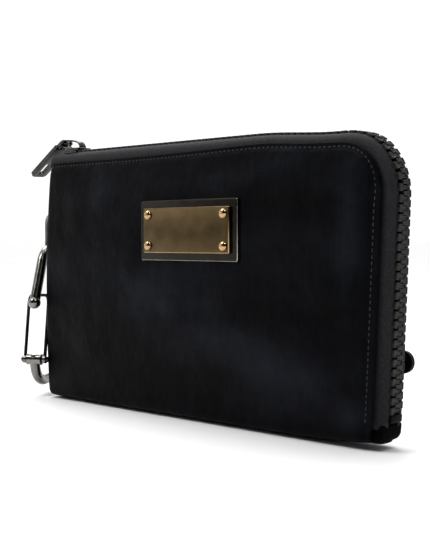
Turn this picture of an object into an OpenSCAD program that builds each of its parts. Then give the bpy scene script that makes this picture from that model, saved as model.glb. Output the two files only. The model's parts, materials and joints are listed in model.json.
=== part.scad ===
// Zippered pouch with an L-shaped zip, a name plate, a carabiner and a hand strap.
// X runs left to right, Y front to back, Z up. The origin is on the base, under the middle.

/* [Pouch] */
// Width of the pouch at its top seam
pouch_w = 213.5; // [170:0.5:280]
// Height of the panels, from the base to the top seam
panel_h = 125; // [105:0.5:170]
// How far the right side leans in towards the base, in degrees
side_lean = 2.4; // [0:0.1:5]
// Radius of the seam's top right corner
corner_r = 23; // [14:0.5:30]
// Radius of the panels' bottom left corner
base_corner_r = 5; // [4:0.5:16]
// How far the base lifts at the bottom right corner
base_lift = 1.8; // [0:0.1:5]
// Half the thickness at the seams along the zip
seam_half = 8.7; // [8.4:0.1:11]
// How far the panels bulge past the seams
belly = 2.6; // [1:0.1:5]
// Half the thickness of the closed left edge
edge_half = 7; // [5:0.5:8]
// Thickness of the outer fabric
shell_t = 1; // [0.6:0.1:1.4]
// Thickness of the padding behind the outer fabric
padding_t = 1.5; // [1:0.1:2.5]
// Thickness of the lining
lining_t = 0.6; // [0.4:0.1:1]

/* [Zip] */
// Distance between two teeth of one row
tooth_pitch = 3.8; // [3:0.1:5]
// Width of both rows of teeth across the zip
chain_w = 7.9; // [6:0.1:9]
// Height of a tooth
tooth_h = 3; // [2:0.1:4]
// How far the tops of the teeth stand past the seam
zip_rise = 5; // [5:0.1:7]
// Thickness of the zip tape
tape_t = 0.8; // [0.5:0.1:1.2]
// Depth of the tape's sewn edge inside the seam
tape_sewn = 4; // [3:0.5:6]

/* [Slider] */
// Length of the slider body
slider_l = 13; // [11:0.5:18]
// Distance from the left edge to the middle of the slider
slider_inset = 13; // [12:0.5:20]
// Length of the puller, from its pivot to its tip
puller_l = 30; // [20:0.5:45]
// Width of the puller
puller_w = 9.5; // [8:0.5:14]
// Thickness of the puller
puller_t = 2; // [1.5:0.1:3]
// Radius of the puller's pivot pin
puller_pin_r = 1; // [0.8:0.05:1.2]
// How far the puller hangs below level, in degrees
puller_droop = 32; // [20:1:40]

/* [Plate] */
// Width of the base plate
plate_w = 62.5; // [40:0.5:90]
// Height of the base plate
plate_h = 28; // [20:0.5:40]
// Thickness of the base plate
plate_t = 1.2; // [0.8:0.1:2]
// Border of the base plate that shows round the face plate
plate_border = 3.5; // [2:0.1:6]
// Thickness of the face plate
face_t = 1.8; // [1:0.1:2.5]
// Height of the plate's middle above the base
plate_z = 88; // [60:0.5:100]
// Distance of the plate's middle from the middle of the pouch
plate_x = 4; // [-40:0.5:40]
// Radius of a rivet's head
rivet_head_r = 2.1; // [1.5:0.1:2.5]
// Radius of a rivet's shank
rivet_r = 0.9; // [0.6:0.05:1.2]
// Distance of a rivet from the face plate's edges
rivet_inset = 3.3; // [2.6:0.1:5]

/* [Carabiner] */
// Height of the carabiner
carabiner_h = 76; // [60:1:100]
// Width of the carabiner, from the gate to the back, between rod centres
carabiner_w = 33; // [26:1:45]
// Radius of the carabiner's rod
rod_r = 2.75; // [2:0.05:3.5]
// Radius of the gate's wire
wire_r = 0.95; // [0.7:0.05:1.2]
// Distance of the gate's pivot above the carabiner's lowest point
gate_pivot_h = 15; // [12:0.5:18]
// Direction of the carabiner's plane, in degrees from +X
carabiner_turn = 120; // [100:1:130]

/* [Ring and tab] */
// Radius of the ring's wire
ring_wire_r = 1.2; // [0.9:0.05:1.6]
// Inner width of the ring, away from the tab
ring_in_w = 12.2; // [12:0.1:16]
// Inner height of the ring
ring_in_h = 20; // [16:0.5:26]
// Height of the tab
tab_h = 7; // [6:0.5:10]
// Thickness of one layer of the tab
tab_t = 1.2; // [1:0.1:1.2]
// Direction of the tab, in degrees from +X
tab_turn = 166; // [155:1:180]

/* [Hand strap] */
// Width of the strap
strap_w = 9.5; // [7:0.5:14]
// Thickness of the strap's two layers together
strap_t = 2.4; // [1.6:0.1:4]
// Length of the strap between the centres of its rounded ends
strap_l = 198; // [150:1:240]
// How far the strap slopes down to the right, in degrees
strap_slope = 10.5; // [0:0.5:12]
// Height of the strap's pivot above the base
strap_z = 70; // [60:1:100]
// Distance of the strap's pivot from the left edge
strap_inset = 14; // [12:1:24]

/* [Hidden] */
$fn = 40;

// Clearances
gap = 0.3;
pin_gap = 0.05;
eps = 0.01;

nylon = [0.06, 0.06, 0.07];
tape_black = [0.13, 0.13, 0.14];
gunmetal = [0.2, 0.19, 0.18];
chrome = [0.5, 0.49, 0.47];
gold = [0.72, 0.55, 0.3];
leather_black = [0.04, 0.04, 0.045];
foam_grey = [0.3, 0.3, 0.32];
lining_black = [0.1, 0.1, 0.12];

// The seam that the zip follows: along the top, round the corner and down the right side
mid_shift = 1.75;
left_x = -pouch_w / 2 + mid_shift;
right_x = left_x + pouch_w;
arc_x = right_x - corner_r;
arc_z = panel_h - corner_r;
side_end_z = 9;
arc_end_z = arc_z - corner_r * sin(side_lean);
side_l = (arc_end_z - side_end_z) / cos(side_lean);
start_tab_t = 1.2;
tape_start_x = left_x + start_tab_t;
arc_l = corner_r * (90 + side_lean) * PI / 180;

// Half the thickness of the pouch at height z, and at x along its width
function bulge(s) = belly * sin(180 * s);
base_extra = 0.3;
base_half = seam_half + base_extra;
base_round = 3;
left_round = 3;
left_half = seam_half + 2 * base_extra;
round_steps = 5;
belly_steps = 12;
function height_half(inset) = concat(
    [for (i = [0 : round_steps]) let (a = 90 * i / round_steps)
        [base_half - base_round + base_round * sin(a) - inset, base_round - base_round * cos(a)]],
    [for (i = [1 : belly_steps]) let (s = i / belly_steps)
        [base_half + (seam_half - base_half) * s + bulge(s) - inset,
         base_round + (panel_h - base_round) * s]]);
function width_half(inset) = concat(
    [for (i = [0 : round_steps]) let (a = 90 * i / round_steps)
        [left_x + left_round * (1 - cos(a)), edge_half + (left_half - edge_half) * sin(a) - inset]],
    [for (i = [1 : belly_steps]) let (s = i / belly_steps)
        [left_x + left_round + (pouch_w - left_round) * s,
         left_half + (seam_half - left_half) * s + bulge(s) - inset]]);
function flip_x(points) = [for (i = [len(points) - 1 : -1 : 0]) [-points[i][0], points[i][1]]];
function flip_y(points) = [for (i = [len(points) - 1 : -1 : 0]) [points[i][0], -points[i][1]]];

far = 300;
belly_y = seam_half + base_extra / 2 + belly;
seam_y = 3;
least_corner = 1;
lift_l = 46;
lift_steps = 4;
lining_top_in = 1;
base_t = shell_t + padding_t + lining_t;

// The panels' outline seen from the front
module outline(left_in = 0, base_in = 0, seam_in = 0) {
    x0 = left_x + left_in;
    r = corner_r - seam_in;
    br = max(base_corner_r - max(left_in, base_in), least_corner);
    ex = arc_x + r * cos(side_lean);
    ez = arc_z - r * sin(side_lean);
    lift_z = base_lift + base_in;
    bx = ex - (ez - lift_z) * tan(side_lean);
    polygon(concat(
        [for (i = [0 : 6]) let (a = 270 - 90 * i / 6)
            [x0 + br + br * cos(a), base_in + br + br * sin(a)]],
        [[x0, panel_h - seam_in]],
        [for (i = [0 : 12]) let (a = 90 - (90 + side_lean) * i / 12)
            [arc_x + r * cos(a), arc_z + r * sin(a)]],
        [for (i = [0 : lift_steps - 1]) let (s = i / lift_steps)
            [bx - lift_l * s, base_in + base_lift * (1 - s) * (1 - s)]],
        [[bx - lift_l, base_in]]));
}

// The solid of the pouch, inset on its two faces, with its own insets along its edges
module body(inset = 0, left_in = 0, base_in = 0, seam_in = 0) {
    half = height_half(inset);
    plan = width_half(inset);
    intersection() {
        rotate([90, 0, 0]) translate([0, 0, -far / 2]) linear_extrude(far)
            outline(left_in, base_in, seam_in);
        rotate([90, 0, 90]) translate([0, 0, -far / 2]) linear_extrude(far)
            polygon(concat(half, flip_x(half)));
        translate([0, 0, -far / 2]) linear_extrude(far)
            polygon(concat(plan, flip_y(plan)));
    }
}

// Everything in front of the given y, or behind it
module front_of(y) {
    intersection() {
        children();
        translate([-far / 2, y - far, -far / 2]) cube([far, far, far]);
    }
}
module behind(y) {
    intersection() {
        children();
        translate([-far / 2, y, -far / 2]) cube([far, far, far]);
    }
}

// The fabric skin: open along the zip, closed at the left edge and the base
module skin() {
    difference() {
        body();
        body(shell_t, shell_t, shell_t, -far / 10);
    }
}

// A layer inside the skin, between two depths. Its edges are closed if wrap is true
module layer(outer, inner, edge, seam_in, wrap) {
    inner_edge = wrap ? edge + inner - outer : 0;
    difference() {
        body(outer, edge, edge, seam_in);
        body(inner, inner_edge, inner_edge, -far / 10);
    }
}

// Sweeps a section along the zip. The section's x is the distance past the seam, its y is Y
module along_zip() {
    translate([arc_x, 0, panel_h]) rotate([0, -90, 0])
        linear_extrude(arc_x - tape_start_x) children();
    translate([arc_x, 0, arc_z]) {
        rotate([-90, 0, 0]) rotate([0, 0, -90]) rotate_extrude(angle = 90 + side_lean)
            translate([corner_r, 0]) children();
        rotate([0, side_lean, 0]) mirror([0, 0, 1]) linear_extrude(side_l)
            translate([corner_r, 0]) children();
    }
}

// Places its children at a distance s along the zip, with X pointing along the zip and Z outwards
module at_zip(s) {
    top_l = arc_x - tape_start_x;
    if (s < top_l) {
        translate([tape_start_x + s, 0, panel_h]) children();
    } else if (s < top_l + arc_l) {
        translate([arc_x, 0, arc_z]) rotate([0, (s - top_l) * 180 / PI / corner_r, 0])
            translate([0, 0, corner_r]) children();
    } else {
        translate([arc_x, 0, arc_z]) rotate([0, 90 + side_lean, 0])
            translate([s - top_l - arc_l, 0, corner_r]) children();
    }
}

// Zip
chain_half = chain_w / 2;
tooth_root_n = zip_rise - tooth_h;
tape_n = zip_rise - tooth_h / 2 - tape_t / 2;
sewn_y = seam_half - shell_t - pin_gap;
zip_l = arc_x - tape_start_x + arc_l + side_l;
teeth_from = slider_inset - start_tab_t - 1;
teeth_end_gap = 3;
tooth_count = floor((zip_l - teeth_from - teeth_end_gap) / tooth_pitch);
tooth_l = tooth_pitch * 0.72;
head_l = tooth_pitch * 0.25;

// The tape is sewn flat inside the seam and bows out over a ridge to the teeth
module tape_section() {
    ridge = [zip_rise * 0.53, -sewn_y + 0.95];
    polygon([[-tape_sewn, -sewn_y], [0, -sewn_y], ridge, [tape_n + tape_t, -chain_half],
             [tape_n, -chain_half], ridge + [-tape_t, tape_t] * 0.7,
             [-tape_t / 3, -sewn_y + tape_t], [-tape_sewn, -sewn_y + tape_t]]);
}

// One tooth of the front row, its root at the tape and its head past the middle
module tooth() {
    head_y = chain_half * 0.35;
    neck_y = -chain_half * 0.1;
    translate([0, 0, tooth_root_n]) linear_extrude(tooth_h)
        polygon([[-tooth_l / 2, -chain_half], [tooth_l / 2, -chain_half], [tooth_l / 2, -head_y],
                 [head_l / 2, neck_y], [head_l / 2, head_y], [-head_l / 2, head_y],
                 [-head_l / 2, neck_y], [-tooth_l / 2, -head_y]]);
}

module front_panel() {
    color(nylon) difference() {
        front_of(seam_y) skin();
        at_rivets() cylinder(r = rivet_r + pin_gap, h = far / 10, center = true);
    }
}

module back_panel() {
    color(nylon) difference() {
        behind(seam_y) skin();
        at_strap() cylinder(r = rivet_r + pin_gap, h = far / 10, center = true);
    }
}

// Padding stops short of the tape's sewn edge, and lies on the two faces only
padding_in = tape_sewn + 1;
padding_y = 4;
module front_padding() {
    color(foam_grey) difference() {
        front_of(-padding_y) layer(shell_t, shell_t + padding_t, padding_in, padding_in, false);
        at_plate(shell_t + padding_t / 2) cube([plate_w + 2, plate_h + 2, far / 10], center = true);
    }
}
module back_padding() {
    color(foam_grey) difference() {
        behind(padding_y) layer(shell_t, shell_t + padding_t, padding_in, padding_in, false);
        at_strap() cylinder(r = strap_washer_r + gap, h = far / 10, center = true);
    }
}

module front_lining() {
    color(lining_black) front_of(0)
        layer(shell_t + padding_t, base_t, shell_t + padding_t, lining_top_in, true);
}
module back_lining() {
    color(lining_black) behind(0)
        layer(shell_t + padding_t, base_t, shell_t + padding_t, lining_top_in, true);
}

module zip_tape_front() { color(tape_black) along_zip() tape_section(); }
module zip_tape_back() { color(tape_black) along_zip() mirror([0, 1]) tape_section(); }

module zip_teeth_front() {
    color(gunmetal) for (i = [0 : tooth_count - 1]) at_zip(teeth_from + i * tooth_pitch) tooth();
}
module zip_teeth_back() {
    color(gunmetal) for (i = [0 : tooth_count - 2])
        at_zip(teeth_from + (i + 0.5) * tooth_pitch) mirror([0, 1, 0]) tooth();
}

// The two stops that hold the slider when the zip is closed, and the one at the zip's other end
stop_l = 3;
module zip_top_stops() {
    color(gunmetal) for (side = [-1, 1])
        at_zip(teeth_from - tooth_l / 2 - stop_l - gap)
            translate([0, side * chain_half * 0.8 - chain_half * 0.2, tooth_root_n])
                cube([stop_l, chain_half * 0.4, tooth_h - gap]);
}
module zip_bottom_stop() {
    color(gunmetal) at_zip(teeth_from + (tooth_count - 0.5) * tooth_pitch)
        translate([0, -chain_half, tooth_root_n]) cube([stop_l, chain_w, tooth_h]);
}

// Fabric that closes the zip at the left edge, and at the bottom right corner
module zip_start_tab() {
    tab_top = panel_h + tape_n + tape_t;
    color(nylon) translate([left_x, 0, 0]) rotate([90, 0, 90]) linear_extrude(start_tab_t)
        polygon([[-sewn_y, panel_h], [sewn_y, panel_h], [chain_half, tab_top],
                 [-chain_half, tab_top]]);
}
module zip_end_tab() {
    end_x = arc_x + corner_r * cos(side_lean) - side_l * sin(side_lean);
    rise = zip_rise - 2 * gap;
    chamfer = 3.6;
    tab_z = base_lift + shell_t;
    color(nylon) difference() {
        translate([0, chain_half + 1, 0]) rotate([90, 0, 0]) linear_extrude(chain_w + 2)
            polygon([[end_x - 1, tab_z], [end_x + rise - chamfer, tab_z],
                     [end_x + rise, tab_z + chamfer], [end_x + rise, side_end_z - gap],
                     [end_x - 1, side_end_z - gap]]);
        skin();
    }
}

// Slider, on the closed end of the top run
slider_x = left_x + slider_inset;
slider_top_t = 1.3;
slider_z = panel_h + zip_rise + gap;
slider_half = chain_half + 1.6;
flange_t = 1.2;
slider_skirt = 1.3;
slider_base_half = 3.3;
post_w = 1.6;
post_x = slider_x - slider_l / 2;

module slider_body() {
    color(chrome) difference() {
        translate([slider_x - slider_l / 2, -slider_half, slider_z - slider_skirt])
            cube([slider_l, slider_half * 2, slider_top_t + slider_skirt]);
        translate([-far / 2, -slider_half + flange_t, slider_z - far / 10])
            cube([far, (slider_half - flange_t) * 2, far / 10]);
    }
}

// The lower wing runs under the teeth; a post between the rows joins it to the body
module slider_base() {
    wing_z = panel_h + tooth_root_n - gap - slider_top_t;
    color(chrome) {
        translate([slider_x - slider_l / 2, -slider_base_half, wing_z])
            cube([slider_l, slider_base_half * 2, slider_top_t]);
        translate([post_x, -post_w / 2, wing_z + slider_top_t - eps])
            cube([post_w, post_w, slider_z - wing_z - slider_top_t + eps]);
    }
}

// The arch over the slider, whose left end holds the puller's pin
bridge_z = slider_z + slider_top_t;
bridge_w = 3.6;
bridge_h = 5.7;
pivot_out = 3;
pivot_x = slider_x - slider_l / 2 - pivot_out;
pivot_z = bridge_z + pivot_out;
pivot_wall = 1.4;
module slider_bridge() {
    x0 = slider_x - slider_l / 2 + 1;
    x1 = slider_x + slider_l / 2 - 1.5;
    color(chrome) difference() {
        translate([0, bridge_w / 2, 0]) rotate([90, 0, 0]) linear_extrude(bridge_w) {
            translate([pivot_x, pivot_z]) circle(r = puller_pin_r + pin_gap + pivot_wall);
            polygon([[x0, bridge_z], [x1, bridge_z], [x1 - 0.4, bridge_z + 2.6],
                     [x1 - 2.6, bridge_z + bridge_h - 0.6], [x1 - 5, bridge_z + bridge_h],
                     [pivot_x + 1.2, pivot_z + 1.9], [pivot_x, pivot_z - 2], [x0, bridge_z + 0.8]]);
        }
        translate([pivot_x, 0, pivot_z]) rotate([90, 0, 0])
            cylinder(r = puller_pin_r + pin_gap, h = bridge_w * 2, center = true);
        translate([slider_x - 0.5, 0, bridge_z + 2.4]) rotate([90, 0, 0])
            cylinder(r = pivot_wall, h = bridge_w * 2, center = true);
    }
}

// The puller: a pin through the arch, two ears, and a bar with a long slot and a round tip
ear_t = 1.6;
ear_l = 2.8;
puller_slot_w = 2.8;
puller_slot_l = 9;
puller_tip_wall = 3;
module puller() {
    ear_y = bridge_w / 2 + gap;
    bar_l = puller_l - ear_l;
    color(chrome) translate([pivot_x, 0, pivot_z]) rotate([0, -puller_droop, 0])
    mirror([1, 0, 0]) {
        rotate([90, 0, 0]) cylinder(r = puller_pin_r, h = 2 * (ear_y + ear_t), center = true);
        difference() {
            for (side = [-1, 1])
                translate([-pivot_wall, side > 0 ? ear_y : -ear_y - ear_t, -puller_t / 2])
                    cube([ear_l + pivot_wall + eps, ear_t, puller_t]);
            rotate([90, 0, 0]) cylinder(r = puller_pin_r / 2, h = puller_w * 2, center = true);
        }
        translate([ear_l, 0, -puller_t / 2]) linear_extrude(puller_t) difference() {
            union() {
                translate([0, -puller_w / 2]) square([bar_l - puller_w / 4, puller_w]);
                translate([bar_l - puller_w / 4, 0]) intersection() {
                    translate([-puller_w / 4, 0]) circle(d = puller_w * 1.12);
                    translate([-eps, -puller_w / 2]) square([puller_w, puller_w]);
                }
            }
            translate([bar_l - puller_tip_wall - puller_slot_l, -puller_slot_w / 2])
                square([puller_slot_l, puller_slot_w]);
        }
    }
}

// Plate: base plate, face plate and four rivets, closed on a backing plate inside the panel
plate_y = -belly_y - pin_gap;
face_w = plate_w - 2 * plate_border;
face_h = plate_h - 2 * plate_border;
module at_plate(depth) {
    translate([plate_x, plate_y + depth, plate_z]) rotate([90, 0, 0]) children();
}
module at_rivets() {
    for (x = [-1, 1], z = [-1, 1])
        at_plate(0) translate([x * (face_w / 2 - rivet_inset), z * (face_h / 2 - rivet_inset), 0])
            children();
}
module plain_plate(w, h, t, corner) {
    translate([0, 0, t / 2]) difference() {
        cube([w, h, t], center = true);
        for (x = [-1, 1], y = [-1, 1])
            translate([x * w / 2, y * h / 2, 0]) rotate([0, 0, 45])
                cube([corner, corner, t * 2], center = true);
    }
}
module base_plate() {
    color(gunmetal) difference() {
        at_plate(0) plain_plate(plate_w, plate_h, plate_t, 1);
        at_rivets() cylinder(r = rivet_r + pin_gap, h = far / 10, center = true);
    }
}
module face_plate() {
    color(gold) difference() {
        at_plate(-plate_t) plain_plate(face_w, face_h, face_t, 0.6);
        at_rivets() cylinder(r = rivet_r + pin_gap, h = far / 10, center = true);
    }
}
backing_t = 0.6;
panel_sag = 1.05;
rivet_dome_r = rivet_head_r * 1.25;
backing_depth = shell_t + panel_sag;
module plate_rivets() {
    head_h = rivet_head_r * 0.5;
    color(gold) at_rivets() {
        translate([0, 0, -backing_depth - backing_t])
            cylinder(r = rivet_r, h = backing_depth + backing_t + plate_t + face_t + eps);
        translate([0, 0, plate_t + face_t]) rotate_extrude() intersection() {
            translate([0, head_h - rivet_dome_r]) circle(r = rivet_dome_r);
            square([rivet_head_r, head_h]);
        }
    }
}
module backing_plate() {
    color(gunmetal) difference() {
        at_plate(backing_depth + backing_t) plain_plate(face_w, face_h - 2, backing_t, 0.6);
        at_rivets() cylinder(r = rivet_r + pin_gap, h = far / 10, center = true);
    }
}

// Side tab: a leather band folded round the ring's straight side and riveted into the seam
carabiner_z = 5;
rod_top_z = carabiner_z + carabiner_h - rod_r;
ring_low_z = rod_top_z - rod_r - ring_wire_r - pin_gap;
ring_mid_z = ring_low_z + ring_wire_r + ring_in_h / 2;
tab_root_x = left_x - gap;
tab_reach = 11.6;
tab_root = 1.2;
tab_rivet_x = 4;
tab_rivet_r = 0.7;
fold_r = ring_wire_r + gap;
module at_tab() {
    translate([tab_root_x, seam_y, ring_mid_z]) rotate([0, 0, tab_turn]) children();
}
module side_tab() {
    color(leather_black) at_tab() difference() {
        translate([0, 0, -tab_h / 2]) linear_extrude(tab_h) difference() {
            union() {
                translate([tab_reach, 0]) circle(r = fold_r + tab_t);
                translate([-tab_root, -tab_t]) square([tab_reach + tab_root, tab_t * 2]);
            }
            translate([tab_reach, 0]) circle(r = fold_r);
        }
        at_tab_rivets() cylinder(r = tab_rivet_r + pin_gap, h = far / 10, center = true);
    }
}
module at_tab_rivets() {
    for (z = [-1, 1])
        translate([tab_rivet_x, 0, z * tab_h * 0.28]) rotate([90, 0, 0]) children();
}
module tab_rivets() {
    color(gunmetal) at_tab() at_tab_rivets() {
        cylinder(r = tab_rivet_r, h = tab_t * 2, center = true);
        for (side = [0, 1]) mirror([0, 0, side]) translate([0, 0, tab_t])
            cylinder(r1 = tab_rivet_r * 2, r2 = tab_rivet_r * 1.3, h = washer_t);
    }
}

// Ring: a straight side in the tab's fold and three sides round the carabiner
washer_t = 0.6;
ring_out = ring_wire_r + ring_in_w / 2;
module d_ring() {
    w = ring_in_w + 2 * ring_wire_r;
    h = ring_in_h + 2 * ring_wire_r;
    bend = 4;
    color(chrome) at_tab() translate([tab_reach, 0, 0]) rotate([90, 0, 0]) {
        translate([0, -h / 2 + bend, 0]) rotate([-90, 0, 0])
            cylinder(r = ring_wire_r, h = h - 2 * bend);
        translate([w, -h / 2 + bend, 0]) rotate([-90, 0, 0])
            cylinder(r = ring_wire_r, h = h - 2 * bend);
        for (side = [-1, 1]) {
            translate([bend, side * (h / 2), 0]) rotate([0, 90, 0])
                cylinder(r = ring_wire_r, h = w - 2 * bend);
            translate([bend, side * (h / 2 - bend), 0]) rotate([0, 0, side > 0 ? 90 : 180])
                bend_of(bend, ring_wire_r, 90);
            translate([w - bend, side * (h / 2 - bend), 0]) rotate([0, 0, side > 0 ? 0 : 270])
                bend_of(bend, ring_wire_r, 90);
        }
    }
}

// A quarter or other turn of round bar about the origin, from +X anticlockwise
module bend_of(radius, wire, turn) {
    rotate_extrude(angle = turn) translate([radius, 0]) circle(r = wire);
}

// Carabiner: drawn with X from the gate to the back and Y up, then stood up in its plane
hang_u = carabiner_w * 0.73;
lug_extra = 0.2;
hang_x = tab_root_x + (tab_reach + ring_out) * cos(tab_turn);
hang_y = seam_y + (tab_reach + ring_out) * sin(tab_turn);
gate_x = hang_x - hang_u * cos(carabiner_turn);
gate_y = hang_y - hang_u * sin(carabiner_turn);
top_r = 8;
top_c = [carabiner_w - top_r, carabiner_h - rod_r - top_r];
base_r = 11.5;
base_c = [carabiner_w - base_r, rod_r + base_r];
heel_c = [base_r, rod_r + base_r];
shoulder_r = 11;
shoulder_c = [carabiner_w - 13, carabiner_h - rod_r - shoulder_r];
nose_turn = 155;
nose_l = 24;
nose_dir = [-sin(nose_turn), cos(nose_turn)];
shoulder_end = polar(shoulder_c, shoulder_r, nose_turn);
nose = shoulder_end + nose_l * nose_dir;
module at_carabiner() {
    translate([gate_x, gate_y, carabiner_z]) rotate([0, 0, carabiner_turn]) rotate([90, 0, 0])
        children();
}
function polar(c, r, a) = [c[0] + r * cos(a), c[1] + r * sin(a)];
module bar(a, b, r) {
    d = b - a;
    translate([a[0], a[1], 0]) rotate([0, 0, atan2(d[1], d[0])]) rotate([0, 90, 0])
        cylinder(r = r, h = norm(d));
}
module ball(p, r) { translate([p[0], p[1], 0]) sphere(r = r); }

module carabiner_body() {
    heel = polar(heel_c, base_r, 180);
    lug_half = gate_half - wire_r - gap;
    color(chrome) at_carabiner() difference() {
        union() {
            bar([carabiner_w, base_c[1]], [carabiner_w, top_c[1]], rod_r);
            translate([top_c[0], top_c[1], 0]) bend_of(top_r, rod_r, 90);
            bar([top_c[0], top_c[1] + top_r], [shoulder_c[0], top_c[1] + top_r], rod_r);
            translate([shoulder_c[0], shoulder_c[1], 0]) rotate([0, 0, 90])
                bend_of(shoulder_r, rod_r, nose_turn - 90);
            bar(shoulder_end, nose, rod_r);
            ball(nose, rod_r * 1.2);
            translate([base_c[0], base_c[1], 0]) rotate([0, 0, -90]) bend_of(base_r, rod_r, 90);
            bar([heel_c[0], rod_r], [base_c[0], rod_r], rod_r);
            translate([heel_c[0], heel_c[1], 0]) rotate([0, 0, 180]) bend_of(base_r, rod_r, 90);
            bar(heel, [0, gate_pivot_h + 1.5], rod_r);
            translate([0, gate_pivot_h, -lug_half]) cylinder(r = rod_r + lug_extra, h = 2 * lug_half);
        }
        translate([0, gate_pivot_h, 0])
            cylinder(r = gate_pin_r + pin_gap, h = far / 10, center = true);
    }
}

// Gate: a wire loop whose two legs turn on the pin and whose top rests inside the nose
gate_half = 5.6;
gate_pin_r = 1;
gate_seat = 6;
gate_top = nose - gate_seat * nose_dir
    + (rod_r + wire_r + gap) * [-nose_dir[1], nose_dir[0]];
module carabiner_gate() {
    eye_r = gate_pin_r + pin_gap + 1;
    lean = atan2(gate_top[1] - gate_pivot_h, gate_top[0]);
    leg = norm([gate_top[0], gate_top[1] - gate_pivot_h]);
    color(chrome) at_carabiner() translate([0, gate_pivot_h, 0]) difference() {
        union() {
            for (side = [-1, 1]) {
                translate([0, 0, side * gate_half - wire_r])
                    cylinder(r = eye_r, h = 2 * wire_r);
                rotate([0, 0, lean]) translate([0, 0, side * gate_half])
                    rotate([0, 90, 0]) cylinder(r = wire_r, h = leg);
            }
            rotate([0, 0, lean]) translate([leg, 0, -gate_half - wire_r - eps])
                cylinder(r = wire_r + pin_gap, h = 2 * (gate_half + wire_r + eps));
        }
        cylinder(r = gate_pin_r + pin_gap, h = far / 10, center = true);
    }
}
module gate_pin() {
    reach = gate_half + wire_r + gap;
    color(chrome) at_carabiner() translate([0, gate_pivot_h, 0]) {
        cylinder(r = gate_pin_r, h = 2 * reach, center = true);
        for (side = [0, 1]) mirror([0, 0, side]) translate([0, 0, reach - eps])
            cylinder(r1 = gate_pin_r + 0.7, r2 = gate_pin_r, h = 0.8);
    }
}

// Hand strap: two layers of leather, riveted at one end, with a snap near the tip
strap_x = left_x + strap_inset;
strap_gap = 1;
strap_y = belly_y + strap_gap;
snap_in = 12;
stud_in = 22;
stud_h = 0.8;
strap_washer_r = 1.8;
pivot_s = (strap_inset - left_round) / (pouch_w - left_round);
pivot_half = left_half + (seam_half - left_half) * pivot_s + bulge(pivot_s);
module at_strap() {
    translate([strap_x, strap_y, strap_z]) rotate([0, strap_slope, 0]) rotate([-90, 0, 0])
        children();
}
module hand_strap() {
    color(leather_black) at_strap() linear_extrude(strap_t) difference() {
        union() {
            circle(d = strap_w);
            translate([strap_l, 0]) circle(d = strap_w);
            translate([0, -strap_w / 2]) square([strap_l, strap_w]);
        }
        circle(r = rivet_r + pin_gap);
        translate([stud_in, 0]) circle(r = rivet_r + pin_gap);
        translate([strap_l - snap_in, 0]) circle(r = rivet_r + pin_gap);
    }
}
module strap_rivet() {
    tail = strap_y - pivot_half + shell_t + pin_gap;
    color(gunmetal) at_strap() {
        translate([0, 0, -tail]) cylinder(r = rivet_r, h = tail + strap_t + gap);
        translate([0, 0, strap_t + gap - eps]) cylinder(r1 = 2.6, r2 = 1.6, h = stud_h);
        translate([0, 0, -tail - washer_t]) cylinder(r = strap_washer_r, h = washer_t + eps);
    }
}
module snap_stud() {
    color(gunmetal) at_strap() translate([stud_in, 0, 0]) {
        cylinder(r = rivet_r, h = strap_t + eps);
        translate([0, 0, strap_t]) cylinder(r = rivet_head_r, h = stud_h);
    }
}
module snap_cap() {
    color(gunmetal) at_strap() translate([strap_l - snap_in, 0, 0]) {
        cylinder(r = rivet_r, h = strap_t + eps);
        translate([0, 0, strap_t]) cylinder(r1 = 3.4, r2 = 2.4, h = 1.1);
    }
}

front_panel();
back_panel();
front_padding();
back_padding();
front_lining();
back_lining();
zip_tape_front();
zip_tape_back();
zip_teeth_front();
zip_teeth_back();
zip_top_stops();
zip_bottom_stop();
zip_start_tab();
zip_end_tab();
slider_body();
slider_base();
slider_bridge();
puller();
base_plate();
face_plate();
plate_rivets();
backing_plate();
side_tab();
tab_rivets();
d_ring();
carabiner_body();
carabiner_gate();
gate_pin();
hand_strap();
strap_rivet();
snap_cap();
snap_stud();
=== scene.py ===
import json
import math

import bmesh
import bpy
import numpy as np
from mathutils import Matrix, Vector, noise


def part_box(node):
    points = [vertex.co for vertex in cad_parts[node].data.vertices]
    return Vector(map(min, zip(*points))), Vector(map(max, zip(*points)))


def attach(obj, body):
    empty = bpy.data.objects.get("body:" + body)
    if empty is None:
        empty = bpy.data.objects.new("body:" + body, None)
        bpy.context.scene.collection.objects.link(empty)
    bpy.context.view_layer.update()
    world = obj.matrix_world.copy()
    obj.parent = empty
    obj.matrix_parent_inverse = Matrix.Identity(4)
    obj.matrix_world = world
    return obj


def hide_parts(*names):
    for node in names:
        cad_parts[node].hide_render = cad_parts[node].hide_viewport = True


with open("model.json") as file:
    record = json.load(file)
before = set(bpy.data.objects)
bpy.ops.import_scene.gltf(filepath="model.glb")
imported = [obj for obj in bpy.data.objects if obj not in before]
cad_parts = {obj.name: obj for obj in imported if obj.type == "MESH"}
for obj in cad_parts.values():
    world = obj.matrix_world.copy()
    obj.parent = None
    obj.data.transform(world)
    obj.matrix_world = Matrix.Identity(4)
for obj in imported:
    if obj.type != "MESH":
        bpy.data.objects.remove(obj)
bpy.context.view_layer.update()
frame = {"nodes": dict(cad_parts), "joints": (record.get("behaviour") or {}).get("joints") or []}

MM = 0.001

# ---- Camera ----
CAMERA_AT = (0.348, -0.347, 0.084)
CAMERA_AZIMUTH = 44.3
CAMERA_PITCH = 1.6
CAMERA_LENS = 70.7

camera_data = bpy.data.cameras.new("camera")
camera_data.lens = CAMERA_LENS
camera_data.sensor_width = 36
camera = bpy.data.objects.new("camera", camera_data)
camera.location = CAMERA_AT
camera.rotation_euler = (math.radians(90 - CAMERA_PITCH), 0, math.radians(CAMERA_AZIMUTH))
bpy.context.scene.collection.objects.link(camera)
bpy.context.scene.camera = camera



def linked(name, data):
    """A new object in the scene."""
    obj = bpy.data.objects.new(name, data)
    bpy.context.scene.collection.objects.link(obj)
    return obj


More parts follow.
